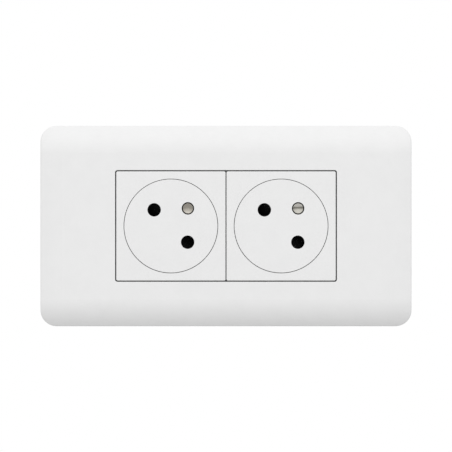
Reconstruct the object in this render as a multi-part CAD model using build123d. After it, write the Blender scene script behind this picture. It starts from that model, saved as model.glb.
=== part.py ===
from build123d import *
from math import asin, cos, radians, sin, sqrt
import os

# Millimetres. +X is right, +Z is up, the front looks along -Y and the wall plane is y = 0.
# Depths are measured from the flush front faces towards the wall, so y = depth - projection.

# Sizes that drive everything else
module_pitch = 45.0
projection = 9.0
plate_width = 151.6
plate_height = 82.0
pin_spacing = 19.0
earth_spacing = 10.0
pin_angle = 136.0
pin_diameter = 4.8
disc_travel = 15.0

# Clearances
module_gap = 0.36
window_gap = 0.44
well_gap = 0.24
slide_gap = 0.15
seat_gap = 0.2
running_gap = 0.06
thread_gap = 0.05

# Cover plate
plate_wall = 2.0
plate_corner = 6.5
plate_edge = 0.7
roll_width = 11.0
roll_angle = 45.0
nose_radius = 1.6
nose_angle = 82.0
side_roll_width = 9.0
side_roll_angle = 15.0
window_corner = 0.9
window_edge = 0.25
lip_wall = 1.4
plate_rib_x = 20.0
plate_rib_length = 7.0

# Front frame of a module
face_size = module_pitch - module_gap
face_corner = 0.6
face_edge = 0.35
face_wall = 2.0
well_rim = 3.2
well_radius = module_pitch / 2 - well_rim
seat_depth = 4.0
body_inset = 1.41
body_size = module_pitch - 2 * body_inset
body_wall = 1.4
body_corner = 1.6
tube_wall = 1.2
body_inner = body_size - 2 * body_wall

# Disc that the plug pushes back
disc_radius = well_radius - well_gap
disc_wall = 2.5
disc_edge = 0.08
ledge_depth = 5.5
lip_depth = 9.0
cup_wall = 1.2
ledge_width = 1.5
cup_inner = disc_radius - cup_wall
ledge_inner = cup_inner - ledge_width
hole_radius = pin_diameter / 2 + 0.35
earth_hole_radius = pin_diameter / 2 + slide_gap
lug_width = 3.6
lug_depth = 2.0
lug_height = 1.15
lug_angles = (45, 135, 225, 315)

# Shutter behind the disc
pivot_radius = 2.0
pivot_end = 8.4
groove_radius = 1.6
clip_depth = 7.2
clip_thick = 0.5
clip_radius = 4.0
shutter_near = disc_wall + 0.3
arm_far = 4.4
wing_far = 8.2
wing_half = 3.3
wing_inner = 6.2
wing_outer = 12.8
hub_radius = 4.4
neck_radius = 2.9
shutter_spring_radius = 3.4
shutter_wire = 0.4
shutter_halves = 3
shutter_leg_length = 7.2
peg_angle = 206.0
peg_radius = 0.6
leg_angle = 37.0
leg_lead_angle = 8.0

# Base behind the well
base_front = lip_depth + disc_travel + seat_gap
base_wall = 2.0
base_length = 12.0
plug_size = body_inner - 2 * slide_gap
shoulder_depth = base_front + 3.8
base_back = base_front + base_length
locator_wall = 1.5
locator_height = 2.8
pocket_floor = base_front + base_wall
chamber_radius = 4.8
socket_radius = hole_radius

# Return spring between disc and base
wire_diameter = 0.7
spring_radius = cup_inner - 0.25 - wire_diameter / 2
spring_halves = 6
spring_end_gap = 0.02

# Terminals, contacts and earth parts
strip = 0.8
leaf = 0.7
leaf_root = socket_radius + 0.15
leaf_length = 8.2
pinch_depth = 5.2
window_half = socket_radius - 0.1
terminal_inset = 6.49
terminal_spot = body_size / 2 - terminal_inset
cage_width = 7.0
cage_height = 8.0
cage_hole = 4.6
screw_radius = 1.5
screw_head_radius = 2.0
screw_head = 1.6
tongue_width = 4.0
flange_radius = 4.0
flange_thick = 1.0
rivet_radius = 1.8
rivet_head = 0.9
cage_near = pocket_floor + flange_thick + strip + rivet_head + seat_gap
cage_far = base_back - 0.8
screw_y = (cage_near + cage_far) / 2 - projection
tip_depth = 0.6
tip_dish = 0.4
tip_inset = 0.26
tip_taper = 6.0
tip_edge = 0.2

# Rear cover
cover_thick = 1.6
entry_radius = 1.8
entry_funnel = 3.0
entry_boss = 4.2
entry_height = 1.2
cover_screw_radius = 1.1
cover_screw_head = 2.4
screw_bite = 6.0
core_size = 9.0
core_inset = 6.59
core_spot = body_size / 2 - core_inset
cover_screw_spots = ((0, 0), (-core_spot, -core_spot))
core_boss = 2.9
gauge_spot = (-10.0, 0.5)
gauge_length = 11.0
gauge_width = 2.2
gauge_depth = 0.6
panel_height = 8.0

# Mounting support
support_side_gap = 3.3
support_top_gap = 4.0
support_width = plate_width - 2 * support_side_gap
support_height = plate_height - 2 * support_top_gap
support_corner = 5.0
support_thick = 2.0
collar_wall = 1.6
box_pitch = 71.0
box_spacing = 60.0
side_inset = 7.0
side_spacing = support_width - 2 * side_inset
slot_radius = 2.1
slot_length = 8.0
rib_wall = 1.2
rib_inset = 8.0
rib_x = side_spacing / 2 - rib_inset
catch_width = 8.0
catch_side_inset = 7.5
catch_x = rib_x - catch_side_inset
catch_inset = 6.0
catch_z = support_height / 2 - catch_inset
catch_wall = 1.2
catch_ledge = 0.6
catch_height = 4.0
rim_height = 1.0
opening_z = 19.0
opening_width = 9.0
opening_height = 20.0
pad_margin = 2.0
pad_height = 0.6

# Hooks that hold a module in the support, and snaps that hold the base in the frame
hook_x = 10.0
hook_width = 6.0
hook_slit = 0.7
hook_height = 0.85
hook_root = 6.0
hook_end = 13.0
snap_z = 8.0
snap_width = 5.0
snap_near = base_front + 0.8
snap_far = base_front + 2.6
grip_spots = (-16.0, 0.0, 16.0)
grip_width = 1.4
grip_height = 0.5
grip_near = projection + 2.0
grip_far = base_front - 2.0

# Sizes that follow from those above
support_window = body_size + 2 * slide_gap
window_x = module_pitch + face_size + 2 * window_gap
window_z = face_size + 2 * window_gap
support_front = projection - support_thick
spot_radius = pin_spacing / 2
earth_angle = pin_angle - 90


# Helpers

def column(outline, near, far):
    """Solid from an outline in x and z, between two depths."""
    face = Plane.XZ.offset(projection - near) * outline
    return extrude(face, amount=far - near, dir=(0, 1, 0))


def turned(points):
    """Solid of revolution about the module axis, from (radius, depth) points."""
    outline = Polyline(*[(r, depth - projection) for r, depth in points], close=True)
    return revolve(make_face(outline), Axis.Y)


def spun(angle):
    """Turn about the module axis, anticlockwise from the front."""
    return Rot(0, -angle, 0)


def polar(radius, angle):
    """Point in x and z at a radius and an angle from the module axis."""
    return radius * cos(radians(angle)), radius * sin(radians(angle))


def peg(spot, radius, near, far):
    """Round post or hole along the depth at a point in x and z."""
    return column(Pos(*spot) * Circle(radius), near, far)


def post(radius, height):
    """Round post standing up from the origin along z."""
    return Cylinder(radius, height, align=(Align.CENTER, Align.CENTER, Align.MIN))


def side_slab(points, width, x=0.0):
    """Solid from (depth, z) points, as wide as given along x about x."""
    outline = Polyline(*[(depth - projection, z) for depth, z in points], close=True)
    return Pos(x, 0, 0) * extrude(Plane.YZ * make_face(outline), amount=width / 2, both=True)


def rim_point(radius, angle, depth):
    """Point at a radius and an angle from the module axis, at a depth."""
    x, z = polar(radius, angle)
    return Vector(x, depth - projection, z)


def bent_wire(start, centre, heading, angle, wire):
    """Round wire bent about a centre through an angle, leaving the start point along the heading."""
    axis = Axis(centre, (start - centre).cross(heading))
    return revolve(Plane(start, z_dir=heading) * Circle(wire / 2), axis, angle)


def coil(radius, wire, near, far, start, lead, halves, tail):
    """Wire coil wound clockwise: a flat lead, half turns that each step inwards, and a flat tail."""
    rise = (far - near) / halves
    steps = [(lead, 0)] + [(180, rise)] * halves + [(tail, 0)]
    wound, angle, depth = [], start, near
    for sweep_angle, step in steps:
        if sweep_angle:
            centre = Vector(0, depth + step / 2 - projection, 0)
            heading = Vector(sin(radians(angle)), 0, -cos(radians(angle)))
            wound.append(bent_wire(rim_point(radius, angle, depth), centre, heading, sweep_angle, wire))
        angle -= sweep_angle
        depth += step
    return wound[0].fuse(*wound[1:])


# Cover plate

def crowned(half, flat, radius, near, far):
    """Outline across the plate: a flat middle, and at each side a wide roll that ends in a tight nose."""
    last = radians(nose_angle)
    swing = radius - nose_radius
    joint = asin((half - flat - nose_radius * sin(last)) / swing)
    nose_x, nose_y = flat + swing * sin(joint), near + radius - swing * cos(joint)
    turn = (joint + last) / 2
    right = [
        (flat, near),
        (flat + radius * sin(joint / 2), near + radius * (1 - cos(joint / 2))),
        (flat + radius * sin(joint), near + radius * (1 - cos(joint))),
        (nose_x + nose_radius * sin(turn), nose_y - nose_radius * cos(turn)),
        (nose_x + nose_radius * sin(last), nose_y - nose_radius * cos(last)),
        (half, far),
    ]
    left = [(-x, y) for x, y in right]
    edges = [Line(left[0], right[0]), Line(left[5], right[5])]
    for points in (right, left):
        edges += [ThreePointArc(*points[:3]), ThreePointArc(*points[2:5]), Line(*points[4:])]
    return make_face(edges)


def crowned_body(inset):
    """The plate's rounded block, every side set in by the inset."""
    end_x = plate_width / 2 - side_roll_width
    end_radius = side_roll_width / sin(radians(side_roll_angle))
    half_z = plate_height / 2 - inset
    nose_reach = nose_radius * sin(radians(nose_angle))
    roll_radius = nose_radius + (roll_width - nose_reach) / sin(radians(roll_angle)) - inset
    section = crowned(half_z, plate_height / 2 - roll_width, roll_radius, inset - projection, plate_wall)
    section = Plane.ZY * section
    hinge = Axis((end_x, end_radius - projection, 0), (0, 0, 1))
    end = revolve(Pos(end_x, 0, 0) * section, hinge, 1.5 * side_roll_angle)
    body = extrude(section, amount=end_x, both=True) + end + mirror(end, Plane.YZ)
    plan = RectangleRounded(plate_width - 2 * inset, 2 * half_z, plate_corner - inset)
    return body & column(plan, 0, projection)


def rim_edges(body):
    """Edges where the plate's front surface meets its side walls."""
    chosen = []
    for edge in body.edges():
        middle = edge @ 0.5
        corner_x = abs(middle.X) - (plate_width / 2 - plate_corner)
        corner_z = abs(middle.Z) - (plate_height / 2 - plate_corner)
        if corner_x > 0 and corner_z > 0:
            inside = plate_corner - sqrt(corner_x**2 + corner_z**2)
        else:
            inside = plate_corner - max(corner_x, corner_z)
        upright = abs((edge % 0.5).Y) > 0.9
        if inside < 0.01 and middle.Y < -0.01 and not upright:
            chosen.append(edge)
    return chosen


def catch_spots():
    """Centres of the four catches in x, with the side they are on."""
    return [(x, side) for x in (-catch_x, catch_x) for side in (1, -1)]


def cover_plate():
    """Clip-on cover with a window for both modules, a lip behind it and four catch legs."""
    body = crowned_body(0)
    body = fillet(rim_edges(body), plate_edge)
    lip_far = seat_depth - seat_gap
    lip_x, lip_z = window_x + 2 * lip_wall, window_z + 2 * lip_wall
    lip = column(RectangleRounded(lip_x, lip_z, window_corner + lip_wall), 1, lip_far)
    leg_near = catch_z + catch_wall + catch_ledge + seat_gap
    leg_far = leg_near + lip_wall
    barb = leg_near - catch_ledge
    leg_end = support_front - seat_gap
    barb_top = support_front - catch_height + catch_ledge + seat_gap
    leg = side_slab([
        (plate_wall / 2, leg_near),
        (barb_top, leg_near),
        (barb_top, barb),
        (barb_top + 0.6, barb),
        (leg_end, leg_near + 0.3),
        (leg_end, leg_far),
        (plate_wall / 2, leg_far),
    ], catch_width)
    solid_parts = body - (crowned_body(plate_wall) - lip)
    for x, side in catch_spots():
        solid_parts += Pos(x, 0, 0) * (leg if side > 0 else mirror(leg, Plane.XY))
    for x in (-plate_rib_x, plate_rib_x):
        for side in (1, -1):
            rib_z = side * (lip_z + plate_rib_length - 0.4) / 2
            rib = Pos(x, rib_z) * Rectangle(lip_wall, plate_rib_length)
            solid_parts += column(rib, plate_wall - 0.2, lip_far)
    window = column(RectangleRounded(window_x, window_z, window_corner), -1, projection)
    plate = solid_parts - window
    mouth = plate.edges().filter_by_position(Axis.Y, -projection - 0.01, -projection + 0.01)
    mouth = mouth.filter_by(lambda e: abs(e.center().X) <= window_x / 2 and abs(e.center().Z) <= window_z / 2)
    return fillet(mouth, window_edge)


# Mounting support

def mounting_support():
    """Flat frame screwed to the wall box, with a raised collar and a middle bar that both modules seat on."""
    outline = RectangleRounded(support_width, support_height, support_corner)
    support = column(outline, support_front, projection)
    support += column(outline - offset(outline, -rib_wall), support_front - rim_height, support_front)
    collar = support_window + 2 * collar_wall
    support += column(Rectangle(module_pitch + collar, collar), seat_depth, support_front)
    for x in (-module_pitch / 2, module_pitch / 2):
        opening = Pos(x, 0) * RectangleRounded(support_window, support_window, body_corner)
        support -= column(opening, 0, projection + 1)
    catch_top = support_front - catch_height
    catch = side_slab([
        (support_front, catch_z),
        (catch_top, catch_z),
        (catch_top, catch_z + catch_wall),
        (catch_top + catch_ledge / 2, catch_z + catch_wall + catch_ledge),
        (catch_top + catch_ledge, catch_z + catch_wall + catch_ledge),
        (catch_top + catch_ledge, catch_z + catch_wall),
        (support_front, catch_z + catch_wall),
    ], catch_width)
    for x, side in catch_spots():
        support += Pos(x, 0, 0) * (catch if side > 0 else mirror(catch, Plane.XY))
    for x in (-rib_x, rib_x):
        rib = Pos(x, 0) * Rectangle(rib_wall, support_height - rib_wall)
        support += column(rib, support_front - rim_height, support_front)
        for z in (-opening_z, opening_z):
            opening = RectangleRounded(opening_width, opening_height, body_corner)
            support -= column(Pos(x * side_spacing / 2 / rib_x, z) * opening, 0, projection + 1)
    slot = SlotOverall(slot_length, 2 * slot_radius)
    pad = SlotOverall(slot_length + 2 * pad_margin, 2 * slot_radius + 2 * pad_margin)
    spots = [(x, z) for x in (-box_pitch / 2, box_pitch / 2) for z in (-box_spacing / 2, box_spacing / 2)]
    spots += [(-side_spacing / 2, 0), (side_spacing / 2, 0)]
    for spot in spots:
        support += column(Pos(*spot) * pad, support_front - pad_height, support_front)
        support -= column(Pos(*spot) * slot, 0, projection + 1)
    return support


# Front frame of a module

def front_frame():
    """Square face and skirt with the round well, four guide slots, snap hooks and base windows."""
    bezel = column(RectangleRounded(face_size, face_size, face_corner), 0, seat_depth)
    bezel = fillet(bezel.faces().sort_by(Axis.Y)[0].edges(), face_edge)
    skirt = column(RectangleRounded(body_size, body_size, body_corner), seat_depth, shoulder_depth)
    hollow = column(Rectangle(body_inner, body_inner), face_wall, shoulder_depth)
    tube = peg((0, 0), well_radius + tube_wall, face_wall, base_front)
    tube &= column(Rectangle(body_size, body_size), face_wall, base_front)
    frame = bezel + skirt - hollow + tube - peg((0, 0), well_radius, -1, base_front + 1)
    slot_near = lip_depth - lug_depth
    for angle in lug_angles:
        reach = Pos(well_radius, 0) * Rectangle(2 * (lug_height + slide_gap) + 1, lug_width + 4 * slide_gap)
        frame -= column(Rot(0, 0, angle) * reach, slot_near, base_front + 1)
    half = body_size / 2
    tab_near = projection + slide_gap
    barb = side_slab([
        (tab_near, half - body_wall / 2),
        (tab_near, half + hook_height),
        (tab_near + 0.6, half + hook_height),
        (tab_near + 2.8, half),
        (tab_near + 2.8, half - body_wall / 2),
    ], hook_width - 1)
    for x in (-hook_x, hook_x):
        for side in (1, -1):
            wall = side * (half - body_wall / 2)
            tongue = Pos(x, wall) * Rectangle(hook_width, body_wall + 0.1)
            slit = Pos(x, wall) * Rectangle(hook_width + 2 * hook_slit, body_wall + 0.1)
            frame -= column(slit, hook_root, hook_end + hook_slit) - column(tongue, hook_root, hook_end)
            frame += Pos(x, 0, 0) * (barb if side > 0 else mirror(barb, Plane.XY))
    for side in (1, -1):
        for z in (-snap_z, snap_z):
            opening = Rectangle(body_wall + 0.1, snap_width + 2 * slide_gap)
            opening = Pos(side * (half - body_wall / 2), z) * opening
            frame -= column(opening, snap_near - slide_gap, snap_far + slide_gap)
        for z in grip_spots:
            rib = Pos(side * (half + grip_height / 2 - 0.1), z) * Rectangle(grip_height + 0.2, grip_width)
            frame += column(rib, grip_near, grip_far)
    return frame


# Disc, shutter and springs

def disc():
    """Piston that the plug pushes back: face with three holes, spring ledge, guide lugs and shutter pivot."""
    cup = turned([
        (0, 0),
        (disc_radius - disc_edge, 0),
        (disc_radius, disc_edge),
        (disc_radius, lip_depth),
        (cup_inner, lip_depth),
        (cup_inner, ledge_depth),
        (ledge_inner, ledge_depth),
        (ledge_inner, disc_wall),
        (0, disc_wall),
    ])
    pivot = turned([
        (0, disc_wall - 0.5),
        (pivot_radius, disc_wall - 0.5),
        (pivot_radius, clip_depth - running_gap),
        (groove_radius, clip_depth - running_gap),
        (groove_radius, clip_depth + clip_thick + running_gap),
        (pivot_radius, clip_depth + clip_thick + running_gap),
        (pivot_radius - 0.3, pivot_end),
        (0, pivot_end),
    ])
    spring_peg = polar(shutter_leg_length - 1, peg_angle)
    piston = cup + pivot + peg(spring_peg, peg_radius, disc_wall - 0.5, clip_depth)
    for angle in lug_angles:
        reach = Pos(disc_radius + lug_height / 2 - 0.25, 0) * Rectangle(lug_height + 0.5, lug_width)
        piston += column(Rot(0, 0, angle) * reach, lip_depth - lug_depth, lip_depth)
    for angle in (pin_angle, pin_angle + 180):
        piston -= peg(polar(spot_radius, angle), hole_radius, -1, disc_wall + 1)
    return piston - peg(polar(earth_spacing, earth_angle), earth_hole_radius, -1, disc_wall + 1)


def shutter():
    """Black turning shutter: a hub and two ramped wings that cover the pin holes."""
    hub = turned([
        (pivot_radius + running_gap, shutter_near),
        (hub_radius, shutter_near),
        (hub_radius, arm_far),
        (neck_radius, arm_far),
        (neck_radius, clip_depth - seat_gap),
        (pivot_radius + running_gap, clip_depth - seat_gap),
    ])
    ramp = make_face(Polyline(*[(depth - projection, z) for depth, z in (
        (shutter_near, -wing_half),
        (shutter_near, -wing_half + 0.8),
        (wing_far - 0.9, wing_half),
        (wing_far, wing_half),
        (wing_far, -wing_half),
    )], close=True))
    wing = Pos(wing_inner, 0, 0) * extrude(Plane.YZ * ramp, amount=wing_outer - wing_inner)
    wing &= peg((0, 0), wing_outer, 0, base_front)
    arm = Pos((hub_radius + wing_inner) / 2, 0) * Rectangle(wing_inner - hub_radius + 2, hub_radius)
    wing += column(arm, shutter_near, arm_far) - wing
    for turn in (0, 180):
        hub += spun(pin_angle + turn) * wing
    return hub


def shutter_spring():
    """Small torsion spring round the shutter's neck, one leg on a wing and one on the disc's peg."""
    near, far = arm_far + seat_gap + shutter_wire / 2, clip_depth - 0.3 - shutter_wire / 2
    first, last = pin_angle - leg_angle, peg_angle + leg_lead_angle
    radius, closing = shutter_spring_radius, (first - last) % 180
    spring = coil(radius, shutter_wire, near, far, first, 0, shutter_halves, closing)
    for angle, depth in ((first, near), (last, far)):
        spot = rim_point(radius, angle, depth)
        leg = Plane(spot, z_dir=rim_point(1, angle, projection)) * Circle(shutter_wire / 2)
        spring += extrude(leg, amount=shutter_leg_length - radius)
    return spring


def shutter_clip():
    """Spring steel clip pushed sideways into the pivot's groove."""
    ring = Circle(clip_radius) - Circle(groove_radius + running_gap)
    ring -= Pos(0, -clip_radius) * Rectangle(2 * groove_radius - 0.4, 2 * clip_radius)
    return column(ring, clip_depth, clip_depth + clip_thick)


def return_spring():
    """Coil spring with closed ends that brings the disc back to the front."""
    inset = wire_diameter / 2 + spring_end_gap
    near, far = ledge_depth + inset, base_front - inset
    return coil(spring_radius, wire_diameter, near, far, 0, 180, spring_halves, 180)


# Base, contacts and terminals

def tail_outline(spot, root, grow=0.0):
    """Flat strip from a pin's place to the fold at its terminal, for the upper left or right corner."""
    side = 1 if root > 0 else -1
    fold = terminal_spot - cage_hole / 2 + strip
    half = tongue_width / 2 + grow
    across = (0.7 * half * side, -0.7 * half)
    return Polygon(
        (spot[0] - across[0], spot[1] - across[1]),
        (spot[0] + across[0], spot[1] + across[1]),
        (root + side * half, fold + grow),
        (root - side * half, fold + grow),
        align=None,
    )


def tail(spot, root, near):
    """Flat strip and the tongue folded from it into the terminal cage."""
    flat = column(tail_outline(spot, root) + Pos(*spot) * Circle(chamber_radius - 0.3), near, near + strip)
    fold = terminal_spot - cage_hole / 2
    tongue = Pos(root, fold + strip / 2) * Rectangle(tongue_width, strip)
    return flat + column(tongue, near, cage_far - 0.6)


def pole_contact():
    """Spring bronze contact of the upper left pole: two leaves round the pin and a tail to the terminal."""
    spot = polar(spot_radius, pin_angle)
    window = Rot(0, 0, pin_angle) * Rectangle(2 * window_half, 2 * leaf_root)
    contact = tail(spot, -terminal_spot, pocket_floor)
    contact -= column(Pos(*spot) * window, pocket_floor - 1, pocket_floor + strip)
    pinch, reach = pin_diameter / 2 - 0.35, pocket_floor + leaf_length
    profile = [
        (pocket_floor + strip / 2, leaf_root),
        (pocket_floor + strip / 2, leaf_root + leaf),
        (pocket_floor + pinch_depth, pinch + leaf),
        (reach, pinch + leaf + 0.6),
        (reach, pinch + 0.6),
        (pocket_floor + pinch_depth, pinch),
    ]
    blade = side_slab(profile, tongue_width)
    for flip in (0, 180):
        contact += Pos(spot[0], 0, spot[1]) * (spun(pin_angle + flip) * blade)
    return contact


def earth_pin():
    """Nickel-plated pin with a tapered, dished tip, a flange behind the front wall and a riveted end."""
    radius = pin_diameter / 2
    tip_radius = radius - tip_inset
    rivet_near = pocket_floor + flange_thick
    head_near = rivet_near + strip
    outline = [
        (tip_radius, tip_depth),
        (radius, tip_depth + tip_taper),
        (radius, pocket_floor),
        (flange_radius, pocket_floor),
        (flange_radius, rivet_near),
        (rivet_radius, rivet_near),
        (rivet_radius, head_near),
        (rivet_radius + 1.1, head_near),
        (rivet_radius + 0.8, head_near + rivet_head),
        (0, head_near + rivet_head),
        (0, tip_depth + tip_dish),
    ]
    outline = [(r, depth - projection) for r, depth in outline]
    dish = TangentArc(outline[-1], outline[0], tangent=(1, 0))
    pin = revolve(make_face([dish, Polyline(*outline)]), Axis.Y)
    rims = pin.edges().filter_by(GeomType.CIRCLE).filter_by(lambda edge: abs(edge.radius - tip_radius) < 0.01)
    x, z = polar(earth_spacing, earth_angle)
    return Pos(x, 0, z) * fillet(rims.sort_by(Axis.Y)[0], tip_edge)


def earth_strap():
    """Brass strap riveted to the earth pin, folded into the earth terminal."""
    spot = polar(earth_spacing, earth_angle)
    near = pocket_floor + flange_thick
    return tail(spot, terminal_spot, near) - peg(spot, rivet_radius + thread_gap, near - 1, near + strip)


def terminal(x):
    """Brass cage at an upper corner: a square tube with a tapped hole in its top wall."""
    outline = Rectangle(cage_width, cage_height) - Rectangle(cage_hole, cage_hole)
    cage = column(Pos(x, terminal_spot) * outline, cage_near, cage_far)
    return cage - Pos(x, screw_y, terminal_spot) * post(screw_radius + thread_gap, cage_height)


def terminal_screw(x):
    """Slotted steel screw of an upper terminal."""
    head_z = terminal_spot + cage_height / 2 + 2 * seat_gap
    foot_z = terminal_spot - 0.2
    screw = Pos(x, screw_y, foot_z) * post(screw_radius, head_z - foot_z)
    screw += Pos(x, screw_y, head_z) * post(screw_head_radius, screw_head)
    return screw - Pos(x, screw_y, head_z + screw_head) * Box(2 * screw_head_radius + 1, 0.8, screw_head)


def pole_pocket():
    """Space in the base for the upper left pole's contact and terminal."""
    spot = polar(spot_radius, pin_angle)
    outline = Pos(*spot) * Circle(chamber_radius) + tail_outline(spot, -terminal_spot, seat_gap)
    outline += terminal_pocket(-terminal_spot)
    return column(outline, pocket_floor, base_back + 1)


def terminal_pocket(x):
    """Outline of the room round a terminal cage."""
    return Pos(x, terminal_spot) * Rectangle(cage_width + 2 * seat_gap, cage_height + 2 * seat_gap)


def earth_pocket():
    """Space in the base for the earth pin's flange, the strap and its terminal."""
    spot = polar(earth_spacing, earth_angle)
    outline = Pos(*spot) * Circle(chamber_radius) + tail_outline(spot, terminal_spot, seat_gap)
    outline += terminal_pocket(terminal_spot)
    return column(outline, pocket_floor, base_back + 1)


def screw_access(x):
    """Round opening in the base's top wall over a terminal screw."""
    return Pos(x, screw_y, terminal_spot) * post(screw_head_radius + 0.3, body_size)


def base():
    """Insulating block behind the well: spring seat in front, pockets for the live parts behind."""
    block = column(RectangleRounded(body_size, body_size, body_corner), shoulder_depth, base_back)
    block += column(RectangleRounded(plug_size, plug_size, body_corner), base_front, shoulder_depth)
    locator = Circle(spring_radius - wire_diameter / 2 - 0.35)
    locator -= Circle(spring_radius - wire_diameter / 2 - 0.35 - locator_wall)
    block += column(locator, base_front - locator_height, base_front)
    half = plug_size / 2
    barb = [
        (half - 1, snap_near),
        (half, snap_near),
        (half + body_wall - 0.3, snap_far - 0.5),
        (half + body_wall - 0.3, snap_far),
        (half - 1, snap_far),
    ]
    barb = make_face(Polyline(*[(x, depth - projection) for x, depth in barb], close=True))
    barb = extrude(barb, amount=snap_width / 2, both=True)
    for z in (-snap_z, snap_z):
        block += Pos(0, 0, z) * barb
        block += Pos(0, 0, z) * mirror(barb, Plane.YZ)
    half_turn = spun(180)
    block -= pole_pocket()
    block -= half_turn * pole_pocket()
    block -= earth_pocket()
    for angle in (pin_angle, pin_angle + 180):
        block -= peg(polar(spot_radius, angle), socket_radius, 0, base_back)
    block -= peg(polar(earth_spacing, earth_angle), pin_diameter / 2 + thread_gap, 0, base_back)
    for x in (-terminal_spot, terminal_spot):
        block -= screw_access(x)
    block -= half_turn * screw_access(-terminal_spot)
    spare = Pos(*cover_screw_spots[1]) * (Rectangle(core_size, core_size) - Circle(core_boss))
    block -= column(spare, pocket_floor, base_back + 1)
    for spot in cover_screw_spots:
        block -= peg(spot, cover_screw_radius + thread_gap, base_back - screw_bite - 0.5, base_back + 1)
    return block


# Rear cover

def entry_spots():
    """Centres of the three conductor entries: neutral, earth and line."""
    return [(-terminal_spot, terminal_spot), (terminal_spot, terminal_spot), (terminal_spot, -terminal_spot)]


def rear_cover():
    """Lid over the pockets with a funnelled entry for each conductor and two screw holes."""
    far = base_back + cover_thick
    lid = column(RectangleRounded(body_size, body_size, body_corner), base_back, far)
    funnel = turned([
        (0, far + entry_height + 0.01),
        (entry_funnel, far + entry_height + 0.01),
        (entry_radius, far),
        (entry_radius, base_back - 0.01),
        (0, base_back - 0.01),
    ])
    for spot in entry_spots():
        lid += peg(spot, entry_boss, base_back, far + entry_height)
    for x, z in entry_spots():
        lid -= Pos(x, 0, z) * funnel
    for spot in cover_screw_spots:
        lid -= peg(spot, cover_screw_radius + slide_gap, 0, far + 1)
    gauge = Pos(*gauge_spot) * SlotOverall(gauge_length, gauge_width)
    panel = Pos(-gauge_spot[0], gauge_spot[1]) * RectangleRounded(gauge_length, panel_height, body_corner)
    return lid - column(gauge, far - gauge_depth, far + 1) - column(panel, far - gauge_depth / 2, far + 1)


def cover_screw(spot):
    """Cross-slotted steel screw that holds the rear cover to the base."""
    seat = base_back + cover_thick
    crown = seat + 1.4
    screw = turned([
        (0, base_back - screw_bite),
        (cover_screw_radius - 0.5, base_back - screw_bite),
        (cover_screw_radius, base_back - screw_bite + 0.8),
        (cover_screw_radius, seat),
        (cover_screw_head, seat),
        (cover_screw_head, crown - 0.5),
        (cover_screw_head - 0.6, crown),
        (0, crown),
    ])
    for turn in (0, 90):
        screw -= column(Rot(0, 0, turn) * Rectangle(2.6, 0.6), crown - 0.8, crown + 1)
    return Pos(spot[0], 0, spot[1]) * screw


# Assembly

def module():
    """All pieces of one socket module about its own axis."""
    half_turn = spun(180)
    screws = [terminal_screw(x) for x in (-terminal_spot, terminal_spot)]
    screws.append(half_turn * terminal_screw(-terminal_spot))
    return {
        "front_frame": front_frame(),
        "disc": disc(),
        "shutter": shutter(),
        "shutter_spring": shutter_spring(),
        "shutter_clip": shutter_clip(),
        "return_spring": return_spring(),
        "base": base(),
        "neutral_contact": pole_contact(),
        "line_contact": half_turn * pole_contact(),
        "earth_pin": earth_pin(),
        "earth_strap": earth_strap(),
        "neutral_terminal": terminal(-terminal_spot),
        "line_terminal": half_turn * terminal(-terminal_spot),
        "earth_terminal": terminal(terminal_spot),
        "terminal_screws": Compound(screws),
        "rear_cover": rear_cover(),
        "cover_screws": Compound([cover_screw(spot) for spot in cover_screw_spots]),
    }


pieces = {"cover_plate": cover_plate(), "mounting_support": mounting_support()}
for kind, piece in module().items():
    for side, x in (("left", -module_pitch / 2), ("right", module_pitch / 2)):
        pieces[f"{side}_{kind}"] = Pos(x, 0, 0) * piece

os.makedirs("parts", exist_ok=True)
for name, piece in pieces.items():
    export_step(piece, f"parts/{name}.step")
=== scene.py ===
import math

import bpy
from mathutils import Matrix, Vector


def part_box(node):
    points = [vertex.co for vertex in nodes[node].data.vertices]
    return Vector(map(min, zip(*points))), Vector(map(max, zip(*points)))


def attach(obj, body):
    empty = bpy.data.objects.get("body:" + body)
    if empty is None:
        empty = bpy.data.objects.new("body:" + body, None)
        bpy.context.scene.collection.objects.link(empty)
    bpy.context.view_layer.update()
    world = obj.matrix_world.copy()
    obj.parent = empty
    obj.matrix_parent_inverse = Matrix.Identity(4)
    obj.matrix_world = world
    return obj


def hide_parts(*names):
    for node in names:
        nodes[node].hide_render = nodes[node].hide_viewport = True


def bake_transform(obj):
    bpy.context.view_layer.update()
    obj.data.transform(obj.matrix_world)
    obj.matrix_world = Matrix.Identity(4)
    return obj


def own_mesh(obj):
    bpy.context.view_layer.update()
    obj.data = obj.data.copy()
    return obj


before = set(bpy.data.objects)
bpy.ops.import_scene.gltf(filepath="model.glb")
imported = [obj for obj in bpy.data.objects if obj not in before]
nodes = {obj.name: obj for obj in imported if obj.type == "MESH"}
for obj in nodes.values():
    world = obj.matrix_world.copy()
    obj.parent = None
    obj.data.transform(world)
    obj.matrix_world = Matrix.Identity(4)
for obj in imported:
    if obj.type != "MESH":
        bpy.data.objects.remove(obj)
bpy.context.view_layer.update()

scene = bpy.context.scene


# The camera stands square in front of the plate, level with its middle, on a long lens.
# The picture is 452 pixels wide and shows 184.5 mm of the front faces' plane.
picture_width = 0.1845
front_plane = -0.009
camera_data = bpy.data.cameras.new("front_camera")
camera_data.sensor_width = 36
camera_data.lens = 400
camera = bpy.data.objects.new("front_camera", camera_data)
camera.location = (0, front_plane - picture_width * camera_data.lens / camera_data.sensor_width, 0)
camera.rotation_euler = (math.radians(90), 0, 0)
camera_data.clip_end = 20
scene.collection.objects.link(camera)
scene.camera = camera
scene.view_settings.view_transform = "Standard"


# The insulating bases and their rear lids are injection-moulded in grey polyamide with glass fibre.
# They carry every live part, and each lid is held on by two screws.
def colour(hex_code):
    """sRGB hex to linear colour with full alpha."""
    parts = [int(hex_code[i:i + 2], 16) / 255 for i in (0, 2, 4)]
    return tuple(p / 12.92 if p <= 0.04045 else ((p + 0.055) / 1.055) ** 2.4 for p in parts) + (1.0,)


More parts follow.
